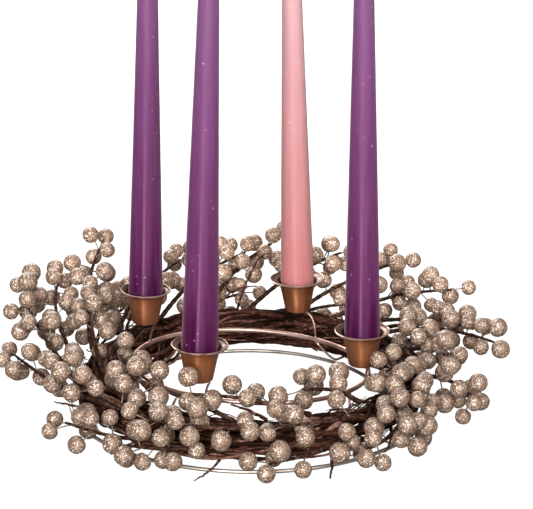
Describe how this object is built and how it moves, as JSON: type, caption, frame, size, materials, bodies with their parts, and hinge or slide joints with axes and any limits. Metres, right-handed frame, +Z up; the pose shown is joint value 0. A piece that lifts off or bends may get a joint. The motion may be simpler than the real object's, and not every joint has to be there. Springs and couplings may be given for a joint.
{
  "type": "advent wreath",
  "caption": "Advent wreath: glittered berry sprays tied into a twisted vine ring, with a copper wire frame whose flared cups hold tall tapers round the open middle.",
  "frame": {"origin": "middle of the bounding box's footprint, on the table that the lower wire rings rest on", "axes": "+Z up along the tapers, +X to the right and +Y to the back as the picture sees the wreath"},
  "size_m": [0.327, 0.2866, 0.307],
  "materials": {
    "berry_glitter": "coarse champagne glitter over a foam ball, on dark wrapped stems",
    "vine": "rough dark bark",
    "copper": "satin copper plate",
    "purple_wax": "smooth wax with a soft sheen",
    "pink_wax": "smooth wax with a soft sheen",
    "wick_cotton": "waxed braided cotton"
  },
  "bodies": {
    "root": {"upper_ring": "copper", "inner_ring": "copper", "outer_ring": "copper", "leg_1": "copper", "leg_2": "copper", "leg_3": "copper", "leg_4": "copper", "cup_back_left": "copper", "candle_back_left": "purple_wax", "wick_back_left": "wick_cotton", "post_back_left": "copper", "cup_front_left": "copper", "candle_front_left": "purple_wax", "wick_front_left": "wick_cotton", "post_front_left": "copper", "cup_back_right": "copper", "candle_back_right": "pink_wax", "wick_back_right": "wick_cotton", "post_back_right": "copper", "cup_front_right": "copper", "candle_front_right": "purple_wax", "wick_front_right": "wick_cotton", "post_front_right": "copper", "spray_01": "berry_glitter", "spray_02": "berry_glitter", "spray_03": "berry_glitter", "spray_04": "berry_glitter", "spray_05": "berry_glitter", "spray_06": "berry_glitter", "spray_07": "berry_glitter", "spray_08": "berry_glitter", "spray_09": "berry_glitter", "spray_10": "berry_glitter", "spray_11": "berry_glitter", "spray_12": "berry_glitter", "spray_13": "berry_glitter", "spray_14": "berry_glitter", "spray_15": "berry_glitter", "spray_16": "berry_glitter", "spray_17": "berry_glitter", "spray_18": "berry_glitter", "spray_19": "berry_glitter", "spray_20": "berry_glitter", "spray_21": "berry_glitter", "spray_22": "berry_glitter", "spray_23": "berry_glitter", "spray_24": "berry_glitter", "spray_25": "berry_glitter", "spray_26": "berry_glitter", "spray_27": "berry_glitter", "spray_28": "berry_glitter", "spray_29": "berry_glitter", "spray_30": "berry_glitter", "spray_31": "berry_glitter", "spray_32": "berry_glitter", "spray_33": "berry_glitter", "spray_34": "berry_glitter", "vine_ring": "vine"}
  },
  "joints": []
}
